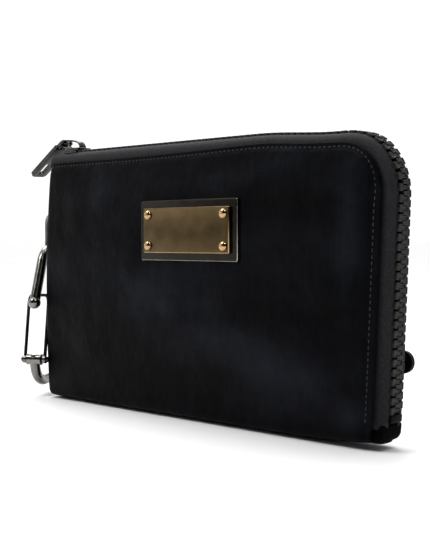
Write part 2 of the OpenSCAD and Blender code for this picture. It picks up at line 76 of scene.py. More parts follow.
# ---- The pouch's shape, in millimetres ----
panel_lo, panel_hi = (np.array(c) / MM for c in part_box("front_panel"))
LEFT, RIGHT, TOP = panel_lo[0], panel_hi[0], panel_hi[2]
CORNER = 23.0
LEAN = math.radians(2.4)
BASE_CORNER = 5.0
LEFT_BULGE = 4.6
BASE_LIFT = 2.3
LIFT_RUN = 46.0
BELLY = 2.6
SEAM_HALF = 8.7
ARC_X, ARC_Z = RIGHT - CORNER, TOP - CORNER
SIDE_END = 9.0
START_TAB = 1.2
TAPE_START = LEFT + START_TAB
TOP_RUN = ARC_X - TAPE_START
ARC_RUN = CORNER * (math.pi / 2 + LEAN)
SIDE_RUN = (ARC_Z - CORNER * math.sin(LEAN) - SIDE_END) / math.cos(LEAN)
SEAM_RUN = TOP_RUN + ARC_RUN + SIDE_RUN
PLATE_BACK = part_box("base_plate")[1][1] / MM
STITCH_PITCH = 2.55


def zip_point(s):
    """The point, direction and outward normal of the seam at a distance s along it, in XZ."""
    if s < TOP_RUN:
        return (TAPE_START + s, TOP), (1.0, 0.0), (0.0, 1.0)
    if s < TOP_RUN + ARC_RUN:
        a = math.pi / 2 - (s - TOP_RUN) / CORNER
        n = (math.cos(a), math.sin(a))
        return (ARC_X + CORNER * n[0], ARC_Z + CORNER * n[1]), (n[1], -n[0]), n
    n = (math.cos(LEAN), -math.sin(LEAN))
    t = (-math.sin(LEAN), -math.cos(LEAN))
    d = s - TOP_RUN - ARC_RUN
    return (ARC_X + CORNER * n[0] + t[0] * d, ARC_Z + CORNER * n[1] + t[1] * d), t, n


def right_edge(z):
    """X of the panel's right edge at height z."""
    if z > ARC_Z - CORNER * math.sin(LEAN):
        return ARC_X + math.sqrt(max(CORNER ** 2 - (z - ARC_Z) ** 2, 0))
    return ARC_X + CORNER / math.cos(LEAN) - (ARC_Z - z) * math.tan(LEAN)


def left_edge(z):
    """X of the panel's soft left edge at height z."""
    edge = LEFT - LEFT_BULGE * math.sin(math.pi * min((z + 18) / (TOP + 18), 1)) ** 0.8
    if z > BASE_CORNER:
        return edge
    return edge + BASE_CORNER - math.sqrt(max(BASE_CORNER ** 2 - (BASE_CORNER - z) ** 2, 0))


def seam_distance(x, z):
    """How far a point of the panel is inside the zip's seam."""
    if x > ARC_X and z > ARC_Z:
        return CORNER - math.hypot(x - ARC_X, z - ARC_Z)
    return min(TOP - z, (right_edge(min(z, ARC_Z)) - x) * math.cos(LEAN))


def fold_distance(x, z):
    """How far a point of the panel is inside the left edge and the base."""
    dx, dz = x - left_edge(max(z, BASE_CORNER + 0.01)), z
    if dx < BASE_CORNER and dz < BASE_CORNER:
        return BASE_CORNER - math.hypot(BASE_CORNER - dx, BASE_CORNER - dz)
    return min(dx, dz)


def base_rise(x, z):
    """How far the soft bottom right corner lifts a point near the base."""
    run = min(max((x - (RIGHT - 4.5 - LIFT_RUN)) / LIFT_RUN, 0), 1.1)
    return BASE_LIFT * run * run * max(1 - z / 40, 0)


def ease(x):
    x = min(max(x, 0.0), 1.0)
    return x * x * (3 - 2 * x)


def stitch_in(z):
    """How far the stitching is inside the seam: close along the top, wider down the side."""
    return 1.7 + 1.9 * ease((TOP - z - 3) / 28)


def relaxed(x, y, z):
    """Lets a point of the soft shape sag before the zip's corner and tuck in at its end."""
    sag = 2.0 * ease((x - 40) / 44) * ease((z - ARC_Z + 4) / CORNER)
    sag *= 1 - 0.85 * ease((x - ARC_X) / 19)
    tuck = 1.6 * ease((15 - z) / 14) * ease((x - right_edge(z) + 9) / 9)
    return (x - tuck, y, z - sag)


def turned_in(x, y, z):
    """Lets a point of a panel sit lower where the panel is turned in along the top."""
    low = 1.5 * ease((z - TOP + 20) / 20) * (1 - ease((x + 40) / 100))
    return relaxed(x, y, z - low)


def soft_noise(x, z, scale, seed):
    return noise.noise(Vector((x / scale, z / scale, seed * 7.31)))


# ---- Cloth: a slightly loose sheet, held at its edges and blown out, gives the panels' folds ----
SHEET_STEP = 3.0
SHEET_W, SHEET_H = RIGHT - LEFT, TOP


def grid_faces(rows, wide):
    """The faces between the points of a grid that is given row after row."""
    return [(a, a + 1, a + wide + 1, a + wide) for j in range(rows - 1)
            for a in range(j * wide, (j + 1) * wide - 1)]


def loose_sheet(seed):
    """Simulates a loose sheet of fabric and returns its depth over a regular grid, 0 to 1."""
    nx, nz = int(SHEET_W / SHEET_STEP), int(SHEET_H / SHEET_STEP)
    verts = []
    for j in range(nz + 1):
        for i in range(nx + 1):
            x, z = SHEET_W * i / nx, SHEET_H * j / nz
            depth = 0.6 * soft_noise(x, z, 28, seed) + 0.25 * soft_noise(x, z, 11, seed + 1)
            verts.append((x * MM, -depth * MM, z * MM))
    mesh = bpy.data.meshes.new("loose_sheet")
    mesh.from_pydata(verts, [], grid_faces(nz + 1, nx + 1))
    sheet = linked("loose_sheet", mesh)
    held = sheet.vertex_groups.new(name="held")
    held.add([j * (nx + 1) + i for j in range(nz + 1) for i in range(nx + 1)
              if i in (0, nx) or j in (0, nz)], 1.0, "REPLACE")
    cloth = sheet.modifiers.new("cloth", "CLOTH")
    cloth.settings.quality = 6
    cloth.settings.vertex_group_mass = "held"
    cloth.settings.mass = 0.15
    cloth.settings.tension_stiffness = 20
    cloth.settings.compression_stiffness = 20
    cloth.settings.bending_stiffness = 0.4
    cloth.settings.shrink_min = -0.012
    cloth.settings.use_pressure = True
    cloth.settings.uniform_pressure_force = 1.6
    cloth.settings.effector_weights.gravity = 0.15
    cloth.collision_settings.use_collision = False
    scene = bpy.context.scene
    for f in range(1, 25):
        scene.frame_set(f)
    deps = bpy.context.evaluated_depsgraph_get()
    done = sheet.evaluated_get(deps).to_mesh()
    co = np.array([v.co for v in done.vertices])
    scene.frame_set(1)
    bpy.data.objects.remove(sheet)
    depth = -co[:, 1].reshape(nz + 1, nx + 1)
    return depth / np.abs(depth).max()


def sample(grid, x, z):
    """The sheet's depth at a point of the panel."""
    rows, cols = grid.shape
    u = min(max((x - LEFT) / SHEET_W, 0), 0.9999) * (cols - 1)
    v = min(max(z / SHEET_H, 0), 0.9999) * (rows - 1)
    i, j = int(u), int(v)
    u, v = u - i, v - j
    return ((grid[j, i] * (1 - u) + grid[j, i + 1] * u) * (1 - v)
            + (grid[j + 1, i] * (1 - u) + grid[j + 1, i + 1] * u) * v)


FRONT_CLOTH = loose_sheet(1)
BACK_CLOTH = loose_sheet(5)

EDGE_ROUND = 5.0
CLOTH_DEPTH = 1.0
# Broad folds of the panels: centre X and Z, reach along and across, turn in degrees, height
BROAD_FOLDS = ((25, 30, 46, 12, 24.25, 0.85), (-62, 100, 20, 9, 0, 0.45),
               (60, 66, 24, 16, 0, -0.30))
LOW_FOLD, HIGH_FOLD = -0.45, 1.25


def half_depth(x, z, cloth, plate):
    """Half the pouch's thickness at a point of its panel: pressed at the seam, full inside it."""
    seam, fold = seam_distance(x, z), max(fold_distance(x, z), 0.0)
    stitched = stitch_in(z)
    inner = max(seam - stitched, 0.0)
    up = min(max(z / TOP, 0), 1)
    over = min(max((x - LEFT) / (RIGHT - LEFT), 0), 1)
    full = min(BELLY * math.sin(math.pi * up), BELLY * math.sin(math.pi * over) + 0.35)
    depth = SEAM_HALF + full
    depth += 0.42 * (1 - math.exp(-inner / 2.0)) - 0.10
    depth -= 0.34 * math.exp(-((seam - stitched) / 0.7) ** 2)
    loose = ease(inner / 10) * ease(fold / 12)
    folds = CLOTH_DEPTH * sample(cloth, x, z) + 0.30 * soft_noise(x, z, 31, 3)
    folds += 0.24 * soft_noise(x * 0.7 + z, (z - x) * 0.6, 17, 5)
    for at_x, at_z, along, across, turn, height in BROAD_FOLDS:
        dx, dz = x - at_x, z - at_z
        c, s = math.cos(math.radians(turn)), math.sin(math.radians(turn))
        folds += height * math.exp(-((dx * c - dz * s) / along) ** 2
                                   - ((dx * s + dz * c) / across) ** 2)
    depth += loose * min(max(folds, LOW_FOLD), HIGH_FOLD)
    pucker = math.exp(-inner / 6.0) * ease(inner / 1.2)
    for height, reach, seed in ((0.24, 6.1, 2.0), (0.12, 2.6, 5.0)):
        depth += height * pucker * noise.noise(Vector(((x - z) / reach, seed, 0.5)))
    if plate:
        away = max(abs(x - PLATE_X) - PLATE_W / 2, abs(z - PLATE_Z) - PLATE_H / 2, 0.0)
        under = 1 - ease(away / 12)
        depth += under * (-PLATE_BACK - 0.12 - depth)
    close = min(fold / EDGE_ROUND, 1.0)
    return depth * (1 - (1 - close) ** 2.8) ** (1 / 2.8)


plate_lo, plate_hi = (np.array(c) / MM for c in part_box("base_plate"))
PLATE_X, PLATE_Z = (plate_lo[0] + plate_hi[0]) / 2, (plate_lo[2] + plate_hi[2]) / 2
PLATE_W, PLATE_H = plate_hi[0] - plate_lo[0], plate_hi[2] - plate_lo[2]

# ---- Mesh helpers ----


def add_mesh(name, verts, faces):
    """A new object from points in millimetres."""
    mesh = bpy.data.meshes.new(name)
    mesh.from_pydata([tuple(c * MM for c in v) for v in verts], [], faces)
    mesh.validate()
    obj = linked(name, mesh)
    tidy = bmesh.new()
    tidy.from_mesh(mesh)
    bmesh.ops.remove_doubles(tidy, verts=tidy.verts, dist=1e-7)
    bmesh.ops.recalc_face_normals(tidy, faces=tidy.faces)
    tidy.to_mesh(mesh)
    tidy.free()
    for p in mesh.polygons:
        p.use_smooth = True
    return obj


def bake_modifiers(obj):
    """Turns the object and its modifiers into a plain mesh."""
    deps = bpy.context.evaluated_depsgraph_get()
    mesh = bpy.data.meshes.new_from_object(obj.evaluated_get(deps))
    if obj.type == "CURVE":
        name = obj.name
        new = linked(name, mesh)
        bpy.data.objects.remove(obj)
        new.name = name
        obj = new
    else:
        obj.modifiers.clear()
        obj.data = mesh
    for p in obj.data.polygons:
        p.use_smooth = True
    return obj


def bevelled(obj, width, segments):
    """Rounds the object's sharp edges."""
    mod = obj.modifiers.new("bevel", "BEVEL")
    mod.width = width * MM
    mod.segments = segments
    mod.limit_method = "ANGLE"
    mod.angle_limit = math.radians(30)
    bake_modifiers(obj)
    smooth_by_angle(obj, 40)
    return obj


def smooth_by_angle(obj, angle):
    """Shades smooth across shallow edges and sharp across steep ones."""
    mesh = obj.data
    edit = bmesh.new()
    edit.from_mesh(mesh)
    limit = math.radians(angle)
    for e in edit.edges:
        e.smooth = len(e.link_faces) != 2 or e.calc_face_angle(0) < limit
    for f in edit.faces:
        f.smooth = True
    edit.to_mesh(mesh)
    edit.free()
    return obj


def prism(name, outlines, low, high, place=None, bevel=0.0, segments=3):
    """Extrudes closed outlines, the first outer and the rest holes, between two heights."""
    curve = bpy.data.curves.new(name, "CURVE")
    curve.dimensions = "2D"
    curve.fill_mode = "BOTH"
    for points in outlines:
        spline = curve.splines.new("POLY")
        spline.points.add(len(points) - 1)
        for p, (x, y) in zip(spline.points, points):
            p.co = (x * MM, y * MM, 0, 1)
        spline.use_cyclic_u = True
    curve.extrude = (high - low) / 2 * MM
    obj = bake_modifiers(linked(name, curve))
    obj.data.transform(Matrix.Translation((0, 0, (high + low) / 2 * MM)))
    edit = bmesh.new()
    edit.from_mesh(obj.data)
    bmesh.ops.remove_doubles(edit, verts=edit.verts, dist=1e-6)
    bmesh.ops.dissolve_limit(edit, angle_limit=0.01, verts=edit.verts, edges=edit.edges)
    bmesh.ops.recalc_face_normals(edit, faces=edit.faces)
    edit.to_mesh(obj.data)
    edit.free()
    if bevel:
        bevelled(obj, bevel, segments)
    if place is not None:
        obj.data.transform(place)
    return obj


def smooth_path(points, steps=6, cyclic=False):
    """A smooth curve through the points, as a longer list."""
    pts = [Vector(p) for p in points]
    out = []
    n = len(pts)
    spans = n if cyclic else n - 1
    for k in range(spans):
        p0 = pts[(k - 1) % n] if cyclic or k > 0 else pts[0]
        p1, p2 = pts[k], pts[(k + 1) % n]
        p3 = pts[(k + 2) % n] if cyclic or k < n - 2 else pts[-1]
        for i in range(steps):
            t = i / steps
            out.append(0.5 * ((2 * p1) + (p2 - p0) * t + (2 * p0 - 5 * p1 + 4 * p2 - p3) * t * t
                              + (3 * p1 - p0 - 3 * p2 + p3) * t ** 3))
    if not cyclic:
        out.append(pts[-1])
    return out


def arc(c, r, start, end, steps=12):
    """Points of an arc round c, between two angles in degrees."""
    turns = [math.radians(start + (end - start) * k / steps) for k in range(steps + 1)]
    return [(c[0] + r * math.cos(a), c[1] + r * math.sin(a)) for a in turns]


def rounded_box(w, h, r, steps=6, centre=(0, 0)):
    """The outline of a rectangle with round corners."""
    points = []
    for sx, sy, start in ((1, 1, 0), (-1, 1, 90), (-1, -1, 180), (1, -1, 270)):
        corner = (centre[0] + sx * (w / 2 - r), centre[1] + sy * (h / 2 - r))
        points += arc(corner, r, start, start + 90, steps)
    return points


def loft(rings, sides, cyclic=False):
    """The faces between rings of points, with a cap at each end unless the rings close."""
    faces = [(k * sides + i, k * sides + (i + 1) % sides,
              (k + 1) % rings * sides + (i + 1) % sides, (k + 1) % rings * sides + i)
             for k in range(rings if cyclic else rings - 1) for i in range(sides)]
    if not cyclic:
        faces += [tuple(range(sides))[::-1], tuple((rings - 1) * sides + i for i in range(sides))]
    return faces


def oval(turn, half_a, half_b, power_a, power_b):
    """A point of a rounded rectangle: its two half widths and how square each side is."""
    c, s = math.cos(turn), math.sin(turn)
    return (half_a * math.copysign(abs(c) ** power_a, c),
            half_b * math.copysign(abs(s) ** power_b, s))


def around(sides):
    """Equal angles round a circle."""
    return [2 * math.pi * i / sides for i in range(sides)]


def tube(name, points, radius, cyclic=False, sides=20, radii=None):
    """A round bar swept along points in millimetres."""
    pts = [Vector(p) for p in points]
    count = len(pts)
    verts = []
    normal = None
    for k, p in enumerate(pts):
        a = pts[(k - 1) % count] if (cyclic or k > 0) else p
        b = pts[(k + 1) % count] if (cyclic or k < count - 1) else p
        t = (b - a).normalized()
        if normal is None:
            other = Vector((0, 0, 1)) if abs(t.z) < 0.9 else Vector((1, 0, 0))
            normal = t.cross(other).normalized()
        normal = (normal - t * normal.dot(t)).normalized()
        side = t.cross(normal)
        r = radii[k] if radii else radius
        verts += [p + r * (math.cos(q) * normal + math.sin(q) * side) for q in around(sides)]
    return smooth_by_angle(add_mesh(name, verts, loft(count, sides, cyclic)), 50)


def joined(name, objs):
    """Joins several objects into one new mesh."""
    mesh = bmesh.new()
    for o in objs:
        o.data.transform(o.matrix_world)
        mesh.from_mesh(o.data)
    out = bpy.data.meshes.new(name)
    mesh.to_mesh(out)
    mesh.free()
    for o in objs:
        bpy.data.objects.remove(o)
    return linked(name, out)


# ---- Materials ----


class Nodes:
    """A short way to write a material's nodes."""

    def __init__(self, name, colour, roughness, metallic=0.0, **sockets):
        self.mat = bpy.data.materials.new(name)
        self.mat.use_nodes = True
        self.tree = self.mat.node_tree
        self.shader = self.tree.nodes["Principled BSDF"]
        self.shader.inputs["Base Color"].default_value = (*colour, 1)
        self.shader.inputs["Roughness"].default_value = roughness
        self.shader.inputs["Metallic"].default_value = metallic
        for key, value in sockets.items():
            self.shader.inputs[key.replace("_", " ")].default_value = value
        self.coords = self.tree.nodes.new("ShaderNodeTexCoord").outputs["Object"]

    def add(self, kind, **sockets):
        """A new node; each socket takes a value, or a link from another node's output."""
        node = self.tree.nodes.new("ShaderNode" + kind)
        for key, value in sockets.items():
            socket = node.inputs[key.replace("_", " ")]
            if isinstance(value, bpy.types.NodeSocket):
                self.tree.links.new(value, socket)
            else:
                socket.default_value = value
        return node

    def mapped(self, scale, turn=(0, 0, 0)):
        """Object coordinates times a scale per millimetre: one number, or one for each axis."""
        scale = scale if isinstance(scale, tuple) else (scale,) * 3
        turn = [math.radians(a) for a in turn]
        return self.add("Mapping", Vector=self.coords, Scale=[s / MM for s in scale],
                        Rotation=turn).outputs["Vector"]

    def noise(self, scale, detail=3.0, rough=0.5, turn=(0, 0, 0)):
        return self.add("TexNoise", Vector=self.mapped(scale, turn), Scale=1.0, Detail=detail,
                        Roughness=rough).outputs["Fac"]

    def wave(self, scale, turn=(0, 0, 0), distortion=0.0):
        return self.add("TexWave", Vector=self.mapped(scale, turn), Scale=1.0,
                        Distortion=distortion).outputs["Fac"]

    def patch(self, x, z, along, across, turn):
        """1 at a point of the front, given in millimetres, and 0 away from it."""
        node = self.add("Mapping", Vector=self.coords, Location=(x * MM, 0, z * MM),
                        Rotation=(0, math.radians(turn), 0), Scale=(along * MM, 1, across * MM))
        node.vector_type = "TEXTURE"
        length = self.tree.nodes.new("ShaderNodeVectorMath")
        length.operation = "LENGTH"
        self.tree.links.new(node.outputs["Vector"], length.inputs[0])
        return self.spread(length.outputs["Value"], 1.0, 0.0, 0.1, 1.5)

    def math(self, kind, a, b):
        node = self.tree.nodes.new("ShaderNodeMath")
        node.operation = kind
        for socket, value in zip(node.inputs, (a, b)):
            if isinstance(value, (int, float)):
                socket.default_value = value
            else:
                self.tree.links.new(value, socket)
        return node.outputs[0]

    def ramp(self, fac, stops):
        node = self.add("ValToRGB", Fac=fac)
        elements = node.color_ramp.elements
        while len(elements) < len(stops):
            elements.new(0.5)
        for element, (at, colour) in zip(elements, stops):
            element.position = at
            element.color = (*colour, 1)
        return node.outputs["Color"]

    def spread(self, fac, low, high, start=0.3, end=0.7):
        return self.add("MapRange", Value=fac, From_Min=start, From_Max=end, To_Min=low,
                        To_Max=high).outputs["Result"]

    def bump(self, height, strength, distance):
        """Adds a bump, in millimetres, on top of the bumps that are there."""
        node = self.add("Bump", Strength=strength, Distance=distance * MM, Height=height)
        if self.shader.inputs["Normal"].is_linked:
            before = self.shader.inputs["Normal"].links[0].from_socket
            self.tree.links.new(before, node.inputs["Normal"])
        self.tree.links.new(node.outputs["Normal"], self.shader.inputs["Normal"])

    def colour(self, fac, *stops):
        self.tree.links.new(self.ramp(fac, stops), self.shader.inputs["Base Color"])

    def roughness(self, value):
        self.tree.links.new(value, self.shader.inputs["Roughness"])


def woven(nodes, pitch, strength, depth):
    """A plain weave: two crossed sets of threads."""
    warp = nodes.wave(0.5 / pitch)
    weft = nodes.wave(0.5 / pitch, (0, 90, 0))
    nodes.bump(nodes.math("MULTIPLY", warp, weft), strength, depth)


# Patches of painted sheen, lighter colour where the satin would catch the lamps: centre X and Z,
# reach along and across, turn in degrees, strength
PAINTED_SHEEN = ((50, 30, 34, 15, 24, 0.20), (-12, 52, 44, 16, 22, 0.12), (93, 92, 7, 26, 0, 0.14),
         (22, 112, 34, 6, -3, 0.10), (-56, 104, 20, 9, 35, 0.09), (94, 12, 9, 8, 0, 0.12))


def satin_nylon():
    """Black satin nylon: fine weave and vertical slubs, with cloudy patches of painted sheen in its
    colour.
    """
    n = Nodes("satin_nylon", (0.003, 0.003, 0.004), 0.40, Specular_IOR_Level=0.03)
    painted_sheen_cloud = n.noise((0.013, 0.013, 0.026), 5, 0.60, (0, -28, 0))
    slub = n.noise((1.3, 1.3, 0.07), 3, 0.6)
    weft = n.noise((0.10, 0.10, 2.3), 2, 0.5)
    slubs_and_painted_sheen = n.math("ADD", n.math("MULTIPLY", painted_sheen_cloud, 0.60),
                 n.math("ADD", n.math("MULTIPLY", slub, 0.12), n.math("MULTIPLY", weft, 0.08)))
    for x, z, along, across, turn, height in PAINTED_SHEEN:
        slubs_and_painted_sheen = n.math("ADD", slubs_and_painted_sheen, n.math("MULTIPLY", n.patch(x, z, along, across, turn), height))
    # The broad cloud noise and the sheen patches lighten the colour as painted sheen; the slubs and
    # weft are the yarn's own tone.
    n.colour(slubs_and_painted_sheen, (0.34, (0.0003, 0.0004, 0.0006)), (0.44, (0.0020, 0.0023, 0.0034)),
             (0.66, (0.0105, 0.0115, 0.0165)))
    n.roughness(n.spread(slubs_and_painted_sheen, 0.46, 0.36))
    woven(n, 0.34, 0.14, 0.05)
    n.bump(n.math("ADD", slub, weft), 0.10, 0.08)
    n.bump(n.noise((0.07, 0.07, 0.05), 3, 0.55, (0, -28, 0)), 0.8, 1.3)
    return n.mat


def zip_tape_cloth():
    """Woven zip tape with a herringbone rib."""
    n = Nodes("zip_tape_cloth", (0.012, 0.012, 0.014), 0.82, Sheen_Weight=0.05,
              Sheen_Roughness=0.5, Specular_IOR_Level=0.2)
    rib = n.wave(0.75, (0, 45, 0), 0.6)
    fuzz = n.noise(1.6, 3, 0.6)
    n.colour(fuzz, (0.38, (0.005, 0.0049, 0.0058)), (0.62, (0.018, 0.0174, 0.0205)))
    n.bump(rib, 0.35, 0.12)
    n.bump(fuzz, 0.3, 0.10)
    return n.mat


def thread(name, low, high):
    n = Nodes(name, low, 0.7, Specular_IOR_Level=0.2)
    twist = n.wave(1.9, (20, 50, 0))
    n.colour(twist, (0.1, low), (0.9, high))
    n.bump(twist, 0.5, 0.08)
    return n.mat


def moulded_teeth(name, low, high, gloss):
    """Dark gunmetal moulding, worn a little on its faces."""
    n = Nodes(name, (0.014, 0.0135, 0.012), 0.42, 0.1, Specular_IOR_Level=gloss)
    wear = n.noise(0.5, 4, 0.6)
    n.colour(wear, (0.35, low), (0.7, high))
    n.roughness(n.spread(wear, 0.30, 0.5))
    n.bump(n.noise(3.0, 2, 0.5), 0.12, 0.05)
    return n.mat


def metal(name, dark, light, roughness, brushed=None, swing=0.1, wear=0.12):
    """Polished or brushed metal with faint smudges."""
    n = Nodes(name, light, roughness, 1.0)
    smudge = n.noise(0.16, 4, 0.6)
    n.colour(smudge, (0.3, dark), (0.72, light))
    n.roughness(n.spread(smudge, roughness, roughness + swing))
    if brushed:
        n.bump(n.noise(brushed, 2, 0.6), wear, 0.03)
    else:
        n.bump(n.noise(1.1, 3, 0.6), wear * 0.4, 0.02)
    return n.mat


def leather():
    """Smooth black leather with a fine grain and a faintly uneven tone."""
    n = Nodes("black_leather", (0.004, 0.004, 0.0045), 0.55, Specular_IOR_Level=0.1)
    grain = n.add("TexVoronoi", Vector=n.mapped(1.3), Scale=1.0).outputs["Distance"]
    n.colour(n.noise(0.12, 4), (0.3, (0.002, 0.002, 0.0024)), (0.75, (0.006, 0.0058, 0.006)))
    n.roughness(n.spread(n.noise(0.4, 3), 0.36, 0.56))
    n.bump(grain, 0.3, 0.10)
    n.bump(n.noise(0.5, 4), 0.2, 0.2)
    return n.mat


def inner_cloth(name, low, high, pitch, gloss=0.3):
    """A plain matt cloth."""
    n = Nodes(name, low, 0.85, Specular_IOR_Level=gloss)
    n.colour(n.noise(0.8, 4), (0.3, low), (0.7, high))
    woven(n, pitch, 0.3, 0.1)
    return n.mat


NYLON = satin_nylon()
TAPE = zip_tape_cloth()
TEETH = moulded_teeth("moulded_teeth", (0.004, 0.0039, 0.0035), (0.0105, 0.0100, 0.0090), 0.22)
DARK_TEETH = moulded_teeth("moulded_stop", (0.001, 0.001, 0.001), (0.002, 0.002, 0.002), 0.03)
THREAD = thread("stitch_thread", (0.012, 0.0123, 0.014), (0.034, 0.035, 0.039))
# The slider's metal is darkened to stand in for the dark surroundings it reflects: painted dark
# reflection.
DARKENED_SLIDER_METAL = metal("slider_metal_painted_dark_reflection", (0.035, 0.033, 0.030), (0.075, 0.071, 0.065), 0.10, None, 0.08)
CHROME = metal("gunmetal_polish", (0.11, 0.104, 0.098), (0.23, 0.22, 0.205), 0.12, None, 0.10)
DARK = metal("plate_base_metal", (0.017, 0.015, 0.012), (0.026, 0.023, 0.019), 0.2,
             (0.05, 1.6, 1.6), 0.05)
GOLD = metal("plate_gold", (0.088, 0.060, 0.029), (0.120, 0.082, 0.040), 0.20,
             (0.05, 1.5, 1.9), 0.05)
RIVET = metal("rivet_gold", (0.36, 0.235, 0.11), (0.48, 0.32, 0.16), 0.10)
# Brighter metal for the base plate's lower and side rims: painted highlight.
PLATE_RIM_HIGHLIGHT = metal("plate_rim_painted_highlight", (0.30, 0.28, 0.25), (0.42, 0.39, 0.35), 0.15)
# Lighter and darker copies of the puller's metal: the lighter one on its rims and sides is painted
# highlight, the darker one on its flat faces is painted dark reflection.
PULLER_RIM_HIGHLIGHT = metal("puller_rim_painted_highlight", (0.045, 0.043, 0.040), (0.10, 0.096, 0.090), 0.14)
PULLER_FACE_DARK_REFLECTION = metal("puller_face_painted_dark_reflection", (0.010, 0.0095, 0.009), (0.024, 0.023, 0.021), 0.16)
LEATHER = leather()
FOAM = inner_cloth("padding_felt", (0.15, 0.15, 0.16), (0.24, 0.24, 0.25), 0.6)
END_CLOTH = inner_cloth("end_cloth", (0.0008, 0.0008, 0.001), (0.002, 0.002, 0.0024), 0.5, 0.03)
LINING = inner_cloth("lining_cloth", (0.02, 0.02, 0.024), (0.04, 0.04, 0.046), 0.4)


def finish_piece(obj, material, body, slot, *replaced):
    """Gives a piece its material, its body and the CAD nodes that it stands for."""
    obj.data.materials.clear()
    obj.data.materials.append(material)
    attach(obj, body)
    if replaced:
        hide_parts(*replaced)
    return obj


# ---- Panels ----
SEAM_Y = 3.0
COLUMNS, ROWS, ARC_ROWS, EDGE_STEPS = 120, 62, 18, 10
EDGE_SHARE = 0.045
FOLD_STEPS = ((0.10, 0.18), (0.02, 0.50), (-0.45, 0.85), (-1.3, 1.1), (-3.2, 1.25))


def crowded(span):
    """Steps over a span that start close together."""
    return [span * (1 - math.cos(math.pi / 2 * k / EDGE_STEPS)) for k in range(EDGE_STEPS)]


def eased_rows():
    """Heights of the panel's rows: close together at the base, then even, then round the arc."""
    rows = crowded(EDGE_ROUND)
    rows += [EDGE_ROUND + (ARC_Z - EDGE_ROUND) * k / ROWS for k in range(ROWS)]
    rows += [ARC_Z + CORNER * math.sin(math.pi / 2 * k / ARC_ROWS) for k in range(ARC_ROWS + 1)]
    return rows


def panel(name, side, cloth, plate):
    """One face of the pouch, from the fold at its left edge and base to the seam's turned edge."""
    rows = eased_rows()
    columns = crowded(EDGE_SHARE)
    columns += [EDGE_SHARE + (1 - EDGE_SHARE) * k / COLUMNS for k in range(COLUMNS + 1)]
    verts, wide = [], len(columns)
    for z in rows:
        x0, x1 = left_edge(z), right_edge(z)
        for u in columns:
            x = x0 + (x1 - x0) * u
            y = half_depth(x, z, cloth, plate)
            shift = SEAM_Y * (1 - ease(fold_distance(x, z) / 2.0))
            verts.append((x, side * y + shift, max(z, 0.02) + base_rise(x, z)))
    faces = grid_faces(len(rows), wide)
    top = [(len(rows) - 1) * wide + i for i in range(wide)]
    border = top + [j * wide + wide - 1 for j in range(len(rows) - 2, -1, -1)]
    ring = border
    for out, inward in FOLD_STEPS:
        new = []
        for k in border:
            x, y, z = verts[k]
            if z > ARC_Z and x > ARC_X:
                n = Vector((x - ARC_X, z - ARC_Z)).normalized()
            elif z >= TOP - 0.01:
                n = Vector((0, 1))
            else:
                n = Vector((math.cos(LEAN), -math.sin(LEAN)))
            close = min(max(fold_distance(x, z), 0) / EDGE_ROUND, 1)
            verts.append((x + n.x * out, y - side * inward * close, max(z + n.y * out, 0.02)))
            new.append(len(verts) - 1)
        for k in range(len(ring) - 1):
            faces.append((ring[k], ring[k + 1], new[k + 1], new[k]))
        ring = new
    obj = add_mesh(name, [turned_in(*v) for v in verts], faces)
    thick = obj.modifiers.new("cloth", "SOLIDIFY")
    thick.thickness = 0.5 * MM
    thick.offset = -1
    bake_modifiers(obj)
    return obj


FACES = (("front", -1, FRONT_CLOTH), ("back", 1, BACK_CLOTH))
for label, side, cloth in FACES:
    face = panel(f"{label}_panel_cloth", side, cloth, label == "front")
    finish_piece(face, NYLON, "pouch", "nylon", f"{label}_panel")

# ---- Top-stitching ----


def pile(verts, faces, more_verts, more_faces):
    """Adds one more small mesh to growing lists of points and faces."""
    faces += [tuple(i + len(verts) for i in face) for face in more_faces]
    verts += more_verts


def stitch(centre, along, out, length, radius):
    """One stitch: a short thread that dips into the cloth at both ends."""
    rings, sides = 7, 8
    along, out = Vector(along).normalized(), Vector(out).normalized()
    side = along.cross(out)
    verts = []
    for k in range(rings):
        t = k / (rings - 1) * 2 - 1
        r = radius * math.sqrt(max(1 - t ** 4, 0.04))
        p = Vector(centre) + along * (t * length / 2) + out * (0.12 - 0.3 * t * t)
        verts += [p + r * (math.cos(a) * out + math.sin(a) * side) for a in around(sides)]
    return verts, loft(rings, sides)


def stitch_row(name, side, cloth, plate):
    """The line of stitches inside the zip's seam, on one face of the pouch."""
    verts, faces = [], []
    s = 2.5
    while s < SEAM_RUN - 1:
        (x, z), t, n = zip_point(s)
        inset = stitch_in(z)
        x, z = x - n[0] * inset, z - n[1] * inset
        y = side * half_depth(x, z, cloth, plate)
        out = Vector((n[0] * 0.15, side, n[1] * 0.15))
        place = turned_in(x, y, z + base_rise(x, z))
        pile(verts, faces, *stitch(place, (t[0], 0, t[1]), out, STITCH_PITCH * 0.76, 0.30))
        s += STITCH_PITCH * (CORNER / (CORNER - inset) if TOP_RUN < s < TOP_RUN + ARC_RUN else 1)
    return add_mesh(name, verts, faces)


for label, side, cloth in FACES:
    finish_piece(stitch_row(f"{label}_top_stitching", side, cloth, label == "front"), THREAD,
                 "pouch", "nylon")

# ---- Zip ----
teeth_lo, teeth_hi = (np.array(c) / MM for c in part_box("zip_teeth_front"))
ZIP_RISE = teeth_hi[2] - TOP
TOOTH_H, TAPE_T = 3.0, 0.8
CHAIN_HALF = -teeth_lo[1]
PITCH = 3.8
SLIDER_INSET, TEETH_END_GAP = 13.0, 3.0
TEETH_FROM = SLIDER_INSET - START_TAB - 1
TOOTH_COUNT = int((SEAM_RUN - TEETH_FROM - TEETH_END_GAP) / PITCH)
TAPE_TOP = ZIP_RISE - TOOTH_H / 2 + TAPE_T / 2


